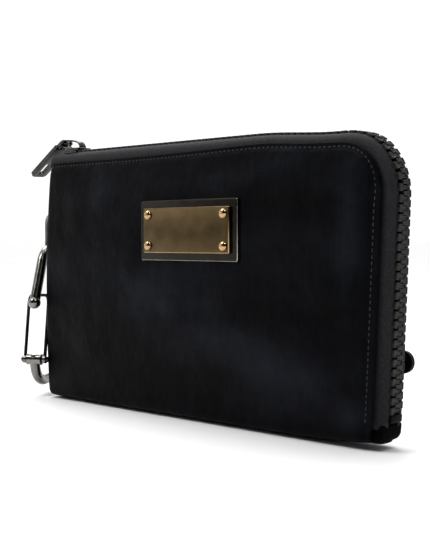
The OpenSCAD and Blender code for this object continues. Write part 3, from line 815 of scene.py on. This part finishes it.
def swept(name, section, step=1.6):
    """Sweeps a closed section, given as (distance past the seam, Y), along the zip."""
    steps = int(SEAM_RUN / step)
    stops = [SEAM_RUN * k / steps for k in range(steps + 1)]
    verts = []
    for s in stops:
        (x, z), t, n = zip_point(s)
        for out, y in section:
            ripple = 0.10 * noise.noise(Vector((s / 7.0, y * 0.3, 3.1))) * ease(out / 2 + 0.5)
            verts.append(relaxed(x + n[0] * (out + ripple), y, z + n[1] * (out + ripple)))
    return add_mesh(name, verts, loft(len(stops), len(section)))


def tape_section(side):
    """The tape: sewn flat inside the seam, bowed out to the teeth, with a cord at its edge."""
    y0 = SEAM_HALF - 1.35
    ridge = [(-2.6, y0), (-0.4, y0 + 0.1), (1.5, y0 - 0.2), (2.8, y0 - 1.1), (3.6, y0 - 2.3),
             (TAPE_TOP + 0.05, CHAIN_HALF - 0.5)]
    outer = [(o, y) for o, y, flat in smooth_path([(o, y, 0) for o, y in ridge], 4)]
    inner = [(o - 0.5, y - 0.55) for o, y in outer]
    points = [(-4.2, y0)] + outer + inner[::-1] + [(-4.2, y0 - 0.7)]
    return [(o, side * y) for o, y in points]


for label, side in (("front", -1), ("back", 1)):
    tape = swept(f"zip_tape_{label}_cloth", tape_section(side))
    smooth_by_angle(tape, 50)
    finish_piece(tape, TAPE, "pouch", "zip_tape", f"zip_tape_{label}")


def tooth_mesh():
    """One moulded tooth: a shouldered block with a dimple, a neck and a rounded head."""
    half, neck, head = PITCH * 0.40, PITCH * 0.19, PITCH * 0.235
    root, shoulder, mid, tip = (CHAIN_HALF * share for share in (-1, -0.42, -0.05, 0.36))
    right = [(half, root), (half, shoulder - 0.5), (half * 0.8, shoulder), (neck, mid - 0.3),
             (neck, mid), (head, mid + 0.5), (head, tip - 0.4), (head * 0.6, tip)]
    outline = [(-half, root)] + right + [(-x, y) for x, y in right[:0:-1]]
    block = prism("tooth", [outline], ZIP_RISE - TOOTH_H, ZIP_RISE, None, 0.36, 3)
    edit = bmesh.new()
    edit.from_mesh(block.data)
    top = max((f for f in edit.faces), key=lambda f: (round(f.normal.z, 2), f.calc_area()))
    bmesh.ops.inset_region(edit, faces=[top], thickness=0.3 * MM, depth=0)
    bmesh.ops.translate(edit, verts=top.verts, vec=(0, 0, -0.25 * MM))
    edit.to_mesh(block.data)
    edit.free()
    return block


def teeth_row(name, side, first, count):
    """A row of teeth along the zip; side -1 is the front row."""
    unit = tooth_mesh()
    base = [Vector(v.co) / MM for v in unit.data.vertices]
    polys = [tuple(p.vertices) for p in unit.data.polygons]
    bpy.data.objects.remove(unit)
    verts, faces = [], []
    for k in range(count):
        s = TEETH_FROM + (first + k) * PITCH
        (x, z), t, n = zip_point(s)
        pile(verts, faces, [(x + t[0] * v.x + n[0] * v.z, -side * v.y,
                             z + t[1] * v.x + n[1] * v.z) for v in base], polys)
    return smooth_by_angle(add_mesh(name, [relaxed(*v) for v in verts], faces), 35)


for label, side, first, count in (("front", -1, 0, TOOTH_COUNT), ("back", 1, 0.5, TOOTH_COUNT - 1)):
    finish_piece(teeth_row(f"{label}_teeth_row", side, first, count), TEETH, "pouch",
                 "zip_teeth", f"zip_teeth_{label}")

# ---- Slider and puller ----
slider_lo, slider_hi = (np.array(c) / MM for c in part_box("slider_body"))
bridge_lo, bridge_hi = (np.array(c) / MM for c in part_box("slider_bridge"))
SLIDER_X = (slider_lo[0] + slider_hi[0]) / 2
SLIDER_L = slider_hi[0] - slider_lo[0]
SLIDER_HALF = slider_hi[1]
PLATE_TOP = slider_hi[2]

swing = {j["name"]: j for j in frame["joints"]}
PIVOT = Vector(swing["puller_swing"]["pos_m"]) / MM


def slider_outline():
    """The slider's plan: wide shoulders where the rows part, narrow at the closed end."""
    h, l = SLIDER_HALF, SLIDER_L / 2
    half = [(-l, 0.0), (-l, h * 0.35), (-l + 1.2, h * 0.72), (-l + 3.4, h * 0.96), (-l + 5.4, h),
            (l - 1.6, h * 0.86), (l - 0.3, h * 0.80), (l, h * 0.66), (l, 0.0)]
    return [(SLIDER_X + x, y) for x, y in half] + \
           [(SLIDER_X + x, -y) for x, y in half[::-1][1:-1]]


top_wing = prism("slider_top", [slider_outline()], PLATE_TOP - 1.5, PLATE_TOP, None, 0.45, 4)
flanges = [prism("slider_flange", [[(SLIDER_X - 3.6, side * (SLIDER_HALF - 1.25)),
                                    (SLIDER_X + 5.2, side * (SLIDER_HALF - 1.9)),
                                    (SLIDER_X + 5.2, side * (SLIDER_HALF - 0.85)),
                                    (SLIDER_X - 3.6, side * (SLIDER_HALF - 0.1))]],
                 slider_lo[2], PLATE_TOP - 1.0, None, 0.25, 2) for side in (-1, 1)]
slider = joined("slider_shell", [top_wing, *flanges])
# The slider shell takes the darkened metal: painted dark reflection.
finish_piece(slider, DARKENED_SLIDER_METAL, "slider", "chrome_dark", "slider_body")

BRIDGE_HALF = (bridge_hi[1] - bridge_lo[1]) / 2
arch_path = [(SLIDER_X + x, PLATE_TOP + z)
             for x, z in ((4.9, -0.3), (4.5, 1.2), (2.9, 2.8), (-0.2, 3.7), (-3.8, 4.2))]
arch_path += [(PIVOT.x + x, PIVOT.z + z) for x, z in (
    (1.5, 1.45), (-0.6, 1.6), (-1.7, 0.2), (-1.2, -1.2), (0.3, -1.7), (2.2, -1.8))]
arch_path.append((SLIDER_X - 5.0, PLATE_TOP + 0.3))


def ways(pts):
    """Each point of a path with the direction of the path there."""
    last = len(pts) - 1
    return [(p, (pts[min(k + 1, last)] - pts[max(k - 1, 0)]).normalized())
            for k, p in enumerate(pts)]


def slider_arch(sides=16, half_t=0.58, square=2 / 3):
    """A flat bar with rounded edges along the arch's path, wider at its right foot."""
    pts = smooth_path([(x, 0, z) for x, z in arch_path])
    verts = []
    for k, (p, t) in enumerate(ways(pts)):
        up = Vector((-t.z, 0, t.x))
        half_w = BRIDGE_HALF * (1.25 - 0.25 * ease(k / (len(pts) - 1) * 2.5))
        for q in around(sides):
            y, o = oval(q, half_w, half_t, square, square)
            verts.append(p + up * o + Vector((0, y, 0)))
    return smooth_by_angle(add_mesh("slider_arch", verts, loft(len(pts), sides)), 45)


finish_piece(slider_arch(), DARKENED_SLIDER_METAL, "slider", "chrome_dark", "slider_bridge")

DROOP = math.radians(32)
PULLER_L, PULLER_W, PULLER_T = 30.0, 9.5, 2.0
TIP_R = 2.4
EAR = 2.8


def puller_bar():
    """The puller, drawn along +X from its pivot, then turned to hang to the left."""
    tip = [(PULLER_L - TIP_R + TIP_R * math.cos(a),
            (PULLER_W / 2 - TIP_R) * (1 if a > 0 else -1) + TIP_R * math.sin(a))
           for a in (math.radians(-90 + 15 * k) for k in range(13))]
    outline = [(EAR, -PULLER_W / 2 + 0.4), (EAR + 0.5, -PULLER_W / 2)] + tip + \
              [(EAR + 0.5, PULLER_W / 2), (EAR, PULLER_W / 2 - 0.4)]
    hole = rounded_box(9, 3.0, 0.8, 3, (PULLER_L - 7.5, 0))[::-1]
    bar = prism("bar", [outline, hole], -PULLER_T / 2, PULLER_T / 2, None, 0.42, 4)
    raised = prism("raised", [rounded_box(9.4, 6.6, 0.8, 3, (EAR + 6.2, 0))],
                   PULLER_T / 2 - 0.1, PULLER_T / 2 + 0.35, None, 0.2, 2)
    ears = []
    for side in (-1, 1):
        y = side * (BRIDGE_HALF + 0.3 + 0.8)
        ears.append(prism("ear", [rounded_box(EAR + 2.6, 1.6, 0.5, 3, ((EAR + 0.4) / 2 - 0.5, y))],
                          -PULLER_T / 2, PULLER_T / 2, None, 0.4, 3))
    pin = tube("pin", [(0, y, 0) for y in (-3.4, -1.5, 0, 1.5, 3.4)], 1.0)
    obj = joined("puller_plate", [bar, raised, *ears, pin])
    turn = Matrix.Translation(PIVOT * MM) @ Matrix.Rotation(-DROOP, 4, "Y") \
        @ Matrix.Scale(-1, 4, (1, 0, 0))
    obj.data.transform(turn)
    obj.data.flip_normals()
    return obj


puller = finish_piece(puller_bar(), PULLER_RIM_HIGHLIGHT, "puller_bar", "chrome_dark", "puller")
# The puller's flat faces take the darker copy as painted dark reflection; its rims and sides keep
# the lighter copy as painted highlight.
puller.data.materials.append(PULLER_FACE_DARK_REFLECTION)
PULLER_UP = Vector((-math.sin(DROOP), 0, math.cos(DROOP)))
for p in puller.data.polygons:
    if abs(p.normal.dot(PULLER_UP)) > 0.97:
        p.material_index = 1

# ---- Plate ----


def plate_place(y):
    """Stands a flat piece up, facing the front, with its back at y."""
    return Matrix.Translation((PLATE_X * MM, y * MM, PLATE_Z * MM)) @ \
        Matrix.Rotation(math.radians(90), 4, "X")


base_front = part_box("base_plate")[0][1] / MM
face_lo, face_hi = (np.array(c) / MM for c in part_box("face_plate"))
FACE_W, FACE_H, FACE_T = face_hi[0] - face_lo[0], face_hi[2] - face_lo[2], face_hi[1] - face_lo[1]
RIVET_IN = 3.3
RIVETS = [(sx * (FACE_W / 2 - RIVET_IN), sz * (FACE_H / 2 - RIVET_IN))
          for sx in (-1, 1) for sz in (-1, 1)]


def painted_rim_highlight(obj, material, half_w, half_h, band):
    """Gives the plate's rounded lower and side rims a brighter metal as painted highlight, where
    the bevels catch the floor and the lamps.
    """
    obj.data.materials.append(material)
    for p in obj.data.polygons:
        x, z = p.center.x / MM - PLATE_X, p.center.z / MM - PLATE_Z
        low = z < -half_h + band and abs(p.normal.z) > 0.25
        side = abs(x) > half_w - band and abs(p.normal.x) > 0.5 and abs(p.normal.y) > 0.3
        if low or side:
            p.material_index = 1


plate = prism("base_plate_metal", [rounded_box(PLATE_W, PLATE_H, 0.9)], 0,
              PLATE_BACK - base_front, plate_place(PLATE_BACK), 0.45, 4)
finish_piece(plate, DARK, "pouch", "gunmetal", "base_plate")
# The base plate's lower and side rims get the brighter metal as painted highlight.
painted_rim_highlight(plate, PLATE_RIM_HIGHLIGHT, PLATE_W / 2, PLATE_H / 2, 0.6)
face = prism("face_plate_metal", [rounded_box(FACE_W, FACE_H, 0.7)], 0, FACE_T,
             plate_place(base_front), 0.6, 4)
finish_piece(face, GOLD, "pouch", "gold", "face_plate")
# The face plate's lower and side rims get the brighter rivet gold as painted highlight.
painted_rim_highlight(face, RIVET, FACE_W / 2, FACE_H / 2, 0.7)


def dome(centre, radius, height, rings=8, sides=28):
    """A domed rivet head with a fine groove round its foot."""
    profile = [(radius, 0.0), (radius * 1.02, height * 0.22)]
    profile += [(radius * math.cos(a), height * 0.22 + height * 0.78 * math.sin(a))
                for a in (math.pi / 2 * k / rings for k in range(1, rings + 1))]
    verts = [(centre[0] + r * math.cos(q), centre[1] + r * math.sin(q), h)
             for r, h in profile for q in around(sides)]
    return add_mesh("rivet", verts, loft(len(profile), sides))


rivets = joined("rivet_heads", [dome(c, 2.2, 1.5) for c in RIVETS])
rivets.data.transform(plate_place(face_lo[1] + 0.02))
finish_piece(rivets, RIVET, "pouch", "gold")

# ---- Carabiner, ring and tab ----
GATE_AT = Vector(swing["gate_open"]["pos_m"]) / MM
ACROSS = Vector(swing["gate_open"]["axis"])
INTO = Vector((ACROSS.y, -ACROSS.x, 0))
CARABINER_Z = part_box("carabiner_body")[0][2] / MM
ROD = 2.75
WIRE = 0.95


def on_carabiner(u, v, w=0.0):
    """A point of the carabiner: u from the gate to the back, v up, w across its plane."""
    p = Vector((GATE_AT.x, GATE_AT.y, CARABINER_Z)) + INTO * u + ACROSS * w
    p.z = CARABINER_Z + v
    return p


def straight(a, b, steps):
    """Points from a to b, without a itself."""
    return [(a[0] + (b[0] - a[0]) * k / steps, a[1] + (b[1] - a[1]) * k / steps)
            for k in range(1, steps + 1)]


WIDTH, HEIGHT = 33.0, 76.0
PIVOT_V = 15.0
HEEL_R, TOP_R, SHOULDER_R, NOSE_L = 11.5, 8.0, 11.0, 24.0
NOSE_DEGREES = 155
NOSE_TURN = math.radians(NOSE_DEGREES)
along_nose = (-math.sin(NOSE_TURN), math.cos(NOSE_TURN))
shoulder = arc((WIDTH - 13, HEIGHT - ROD - SHOULDER_R), SHOULDER_R, 90, NOSE_DEGREES)
nose = tuple(end + NOSE_L * way for end, way in zip(shoulder[-1], along_nose))
path = [(0, PIVOT_V + 1.6)] + arc((HEEL_R, ROD + HEEL_R), HEEL_R, 180, 270)
path += arc((WIDTH - HEEL_R, ROD + HEEL_R), HEEL_R, 270, 360)
path += straight((WIDTH, ROD + HEEL_R), (WIDTH, HEIGHT - ROD - TOP_R), 8)[:-1]
path += arc((WIDTH - TOP_R, HEIGHT - ROD - TOP_R), TOP_R, 0, 90) + shoulder
path += straight(shoulder[-1], nose, 6)
rod = tube("rod", [on_carabiner(u, v) for u, v in path], ROD, sides=28)


def ball(centre, radius, rings=14):
    """A round knob, as rings from its lowest point to its highest."""
    turns = [math.pi * k / rings for k in range(rings + 1)]
    return tube("ball", [centre - Vector((0, 0, radius * math.cos(a))) for a in turns], radius,
                sides=24, radii=[radius * math.sin(a) for a in turns])


nose_ball = ball(on_carabiner(*nose), ROD * 1.2)
lug = tube("lug", [on_carabiner(0, PIVOT_V, w) for w in (-4.35, -4.05, -2, 0, 2, 4.05, 4.35)],
           ROD, sides=28, radii=[2.5, *[2.95] * 5, 2.5])
collar = tube("collar", [on_carabiner(0, v) for v in (16.2, 16.5, 17.6, 18.0)], ROD,
              sides=28, radii=[2.75, 2.75, 2.5, 1.6])
finish_piece(joined("carabiner_rod", [rod, nose_ball, lug, collar]), CHROME, "carabiner",
             "chrome_dark", "carabiner_body")

SEAT, UNDER_NOSE = 6.0, 4.0
gate_top = (nose[0] - SEAT * along_nose[0] - UNDER_NOSE * along_nose[1],
            nose[1] - SEAT * along_nose[1] + UNDER_NOSE * along_nose[0])


def gate_point(q, w):
    """A point of the gate's plane: q from its pivot to its top, w across."""
    return on_carabiner(gate_top[0] * q, PIVOT_V + (gate_top[1] - PIVOT_V) * q, w)


leg = [(0.0, 5.6), (0.25, 5.6), (0.5, 5.6), (0.75, 5.6), (0.9, 5.5), (0.975, 4.8), (1.0, 3.5)]
loop = [gate_point(q, -w) for q, w in leg] + [gate_point(1, 0)]
loop += [gate_point(q, w) for q, w in leg[::-1]]
wire = tube("wire", smooth_path(loop), WIRE, sides=16)
eyes = [tube("eye", [gate_point(0, side * w) for w in (4.65, 4.85, 6.35, 6.55)], 2.0, sides=24,
             radii=[1.75, 2.05, 2.05, 1.75]) for side in (-1, 1)]
finish_piece(joined("gate_wire", [wire, *eyes]), CHROME, "gate", "chrome_dark", "carabiner_gate")

RING_AT = Vector(swing["ring_swing"]["pos_m"]) / MM
TAB_DIR = Vector(swing["carabiner_swing"]["axis"]).normalized()
RING_W, RING_H, RING_BEND, RING_WIRE = 14.6, 22.4, 4.0, 1.2
ring_line = []
for cx, cz, start in ((RING_W - RING_BEND, RING_H / 2 - RING_BEND, 90),
                      (RING_W - RING_BEND, -RING_H / 2 + RING_BEND, 0),
                      (RING_BEND, -RING_H / 2 + RING_BEND, -90),
                      (RING_BEND, RING_H / 2 - RING_BEND, -180)):
    ring_line += arc((cx, cz), RING_BEND, start, start - 90, 8)
ring = tube("ring_wire", [RING_AT + TAB_DIR * a + Vector((0, 0, b)) for a, b in ring_line],
            RING_WIRE, cyclic=True, sides=20)
finish_piece(ring, CHROME, "ring", "chrome_dark", "d_ring")

TAB_T, TAB_H, FOLD_R = 1.2, 7.0, 1.5
TAB_SIDE = Vector((-TAB_DIR.y, TAB_DIR.x, 0))
TAB_REACH = 11.6


def tab_band():
    """The leather tab: out along one side, round the ring and back along the other."""
    mid = FOLD_R + TAB_T / 2
    line = [(-1.2, 0.62), (3, 0.62), (7, 0.66), (9.4, 1.15)]
    line += arc((TAB_REACH, 0), mid, 100, -100, 10)
    line += [(9.4, -1.15), (7, -0.66), (3, -0.62), (-1.2, -0.62)]
    pts = smooth_path([(a, b, 0) for a, b in line], 4)
    verts = []
    sides = 16
    for p, t in ways(pts):
        out = Vector((-t.y, t.x, 0))
        for q in around(sides):
            h, o = oval(q, TAB_H / 2, TAB_T / 2, 0.35, 0.6)
            v = p + out * o
            verts.append(TAB_ROOT + TAB_DIR * v.x + TAB_SIDE * v.y + Vector((0, 0, h)))
    return smooth_by_angle(add_mesh("side_tab_leather", verts, loft(len(pts), sides)), 50)


TAB_ROOT = RING_AT - TAB_DIR * TAB_REACH
finish_piece(tab_band(), LEATHER, "pouch", "leather", "side_tab")

# ---- Hand strap ----
STRAP_AT = Vector(swing["strap_swing"]["pos_m"]) / MM
STRAP_L, STRAP_W, STRAP_T = 198.0, 9.5, 2.4
SLOPE = math.radians(10.5)
STRAP_PLACE = Matrix.Translation(STRAP_AT * MM) @ Matrix.Rotation(SLOPE, 4, "Y") @ \
    Matrix.Rotation(math.radians(-90), 4, "X")


def strap_outline(inset):
    """The strap's outline with round ends, a little inside its edge."""
    r = STRAP_W / 2 - inset
    tip, root = arc((STRAP_L, 0), r, -90, 90, 18), arc((0, 0), r, 90, 270, 18)
    upper = [(STRAP_L * (1 - k / 40), r) for k in range(1, 40)]
    lower = [(STRAP_L * k / 40, -r) for k in range(1, 40)]
    return tip + upper + root + lower


layers = [prism("layer", [strap_outline(inset)], low, high, None, 0.35, 3)
          for inset, low, high in ((0.0, 0.0, 1.15), (0.12, 1.1, STRAP_T))]
strap = joined("hand_strap_leather", layers)
strap.data.transform(STRAP_PLACE)
finish_piece(strap, LEATHER, "strap", "leather", "hand_strap")

strap_verts, strap_faces = [], []
outline = strap_outline(1.1)
closed = outline + outline[:1]
travel = 0.0
for (ax, ay), (bx, by) in zip(closed, closed[1:]):
    seg = math.hypot(bx - ax, by - ay)
    while travel < seg:
        t = travel / seg
        pile(strap_verts, strap_faces,
             *stitch((ax + (bx - ax) * t, ay + (by - ay) * t, STRAP_T), (bx - ax, by - ay, 0),
                     (0, 0, 1), 2.0, 0.2))
        travel += 2.7
    travel -= seg
strap_stitches = add_mesh("strap_stitching", strap_verts, strap_faces)
strap_stitches.data.transform(STRAP_PLACE)
finish_piece(strap_stitches, THREAD, "strap", "leather")

# ---- End tabs of the zip ----


def relax_mesh(obj):
    """Moves a finished mesh along with the soft zip around it."""
    for v in obj.data.vertices:
        v.co = Vector(relaxed(*(v.co / MM))) * MM
    return obj


STAND_UP = Matrix.Rotation(math.radians(90), 4, "X")
STAND_ACROSS = Matrix(((0, 0, 1, 0), (1, 0, 0, 0), (0, 1, 0, 0), (0, 0, 0, 1)))
end_lo, end_hi = (np.array(c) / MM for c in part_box("zip_end_tab"))
end_tab = prism("zip_end_tab_cloth", [[
    (end_lo[0] - 2.5, end_lo[2] + 0.2), (end_hi[0] - 3.6, end_lo[2] + 0.3),
    (end_hi[0] - 0.9, end_lo[2] + 1.6), (end_hi[0] - 0.3, end_lo[2] + 3.6),
    (end_hi[0] - 0.6, end_hi[2] + 2.4), (end_lo[0] - 2.5, end_hi[2] + 2.4)]],
    -7.0, 7.0, STAND_UP, 1.5, 4)
finish_piece(relax_mesh(end_tab), END_CLOTH, "pouch", "nylon", "zip_end_tab")
start_tab = prism("zip_start_tab_cloth", [[
    (-SEAM_HALF + 1.2, TOP - 3.5), (SEAM_HALF - 1.2, TOP - 3.5), (SEAM_HALF - 1.8, TOP + 0.9),
    (CHAIN_HALF, TOP + 3.9), (-CHAIN_HALF, TOP + 3.9), (-SEAM_HALF + 1.8, TOP + 0.9)]],
    LEFT - 0.2, LEFT + 2.0, STAND_ACROSS, 0.8, 3)
finish_piece(start_tab, END_CLOTH, "pouch", "nylon", "zip_start_tab")

# ---- Stops of the zip ----
stop_lo, stop_hi = (np.array(c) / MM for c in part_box("zip_bottom_stop"))
stop_size, stop_mid = stop_hi - stop_lo, (stop_lo + stop_hi) / 2
stop = prism("zip_bottom_stop_block",
             [rounded_box(stop_size[0], stop_size[1], 0.5, 4, stop_mid[:2])],
             stop_lo[2], stop_hi[2], None, 0.4, 3)
finish_piece(relax_mesh(stop), DARK_TEETH, "pouch", "zip_teeth", "zip_bottom_stop")

# ---- Materials of the CAD nodes that stay ----
CAD_LOOK = {
    FOAM: ("front_padding", "back_padding"),
    LINING: ("front_lining", "back_lining"),
    TEETH: ("zip_top_stops",),
    CHROME: ("slider_base", "gate_pin"),
    DARK: ("backing_plate", "tab_rivets", "strap_rivet", "snap_cap", "snap_stud"),
    RIVET: ("plate_rivets",),
}
for material, names in CAD_LOOK.items():
    for name in names:
        node = frame["nodes"][name]
        for k in range(len(node.material_slots)):
            node.material_slots[k].material = material

# ---- Floor, light and world ----


def floor_material():
    n = Nodes("studio_floor", (0.86, 0.86, 0.86), 0.9)
    n.colour(n.noise(0.002, 2), (0.3, (0.85, 0.85, 0.85)), (0.7, (0.87, 0.87, 0.87)))
    return n.mat


FLOOR_HALF = 30000.0
floor = add_mesh("floor", [(x * FLOOR_HALF, y * FLOOR_HALF, 0)
                           for x, y in ((-1, -1), (1, -1), (1, 1), (-1, 1))], [(0, 1, 2, 3)])
floor.data.materials.append(floor_material())


def area_light(name, at, target, size, power):
    """A rectangular lamp, in metres and watts."""
    data = bpy.data.lights.new(name, "AREA")
    data.shape = "RECTANGLE"
    data.size, data.size_y = size
    data.energy = power
    lamp = linked(name, data)
    lamp.location = at
    lamp.rotation_euler = (Vector(target) - Vector(at)).to_track_quat("-Z", "Y").to_euler()


for name, at, target, size, power in (
        ("key", (-0.5, -0.62, 0.95), (0, 0, 0.07), (0.45, 0.45), 7),
        ("fill", (-0.80, -0.92, 0.34), (0, 0, 0.07), (0.7, 0.14), 0.5),
        ("top", (-0.1, 0.1, 1.1), (0, 0, 0.06), (0.5, 0.3), 2),
        ("side", (0.5, -0.12, 0.95), (0.08, 0, 0.1), (0.3, 0.3), 3)):
    area_light(name, at, target, size, power)

sun_data = bpy.data.lights.new("daylight", "SUN")
sun_data.energy = 1.9
sun_data.angle = math.radians(42)
sun = linked("daylight", sun_data)
sun.rotation_euler = Vector((0.5, -0.35, -0.8)).to_track_quat("-Z", "Y").to_euler()

world = bpy.data.worlds.new("studio")
world.use_nodes = True
sky = world.node_tree
direction = sky.nodes.new("ShaderNodeTexCoord").outputs["Generated"]
facing = sky.nodes.new("ShaderNodeVectorMath")
facing.operation = "DOT_PRODUCT"
facing.inputs[1].default_value = (-0.69, 0.70, 0.18)
sky.links.new(direction, facing.inputs[0])
screen = sky.nodes.new("ShaderNodeMapRange")
for key, value in (("From Min", -0.35), ("From Max", 0.55), ("To Min", 0.02), ("To Max", 1.15)):
    screen.inputs[key].default_value = value
sky.links.new(facing.outputs["Value"], screen.inputs["Value"])
sky.links.new(screen.outputs["Result"], sky.nodes["Background"].inputs["Strength"])
sky.nodes["Background"].inputs["Color"].default_value = (1, 1, 1, 1)
bpy.context.scene.world = world
bpy.context.scene.view_settings.view_transform = "Standard"
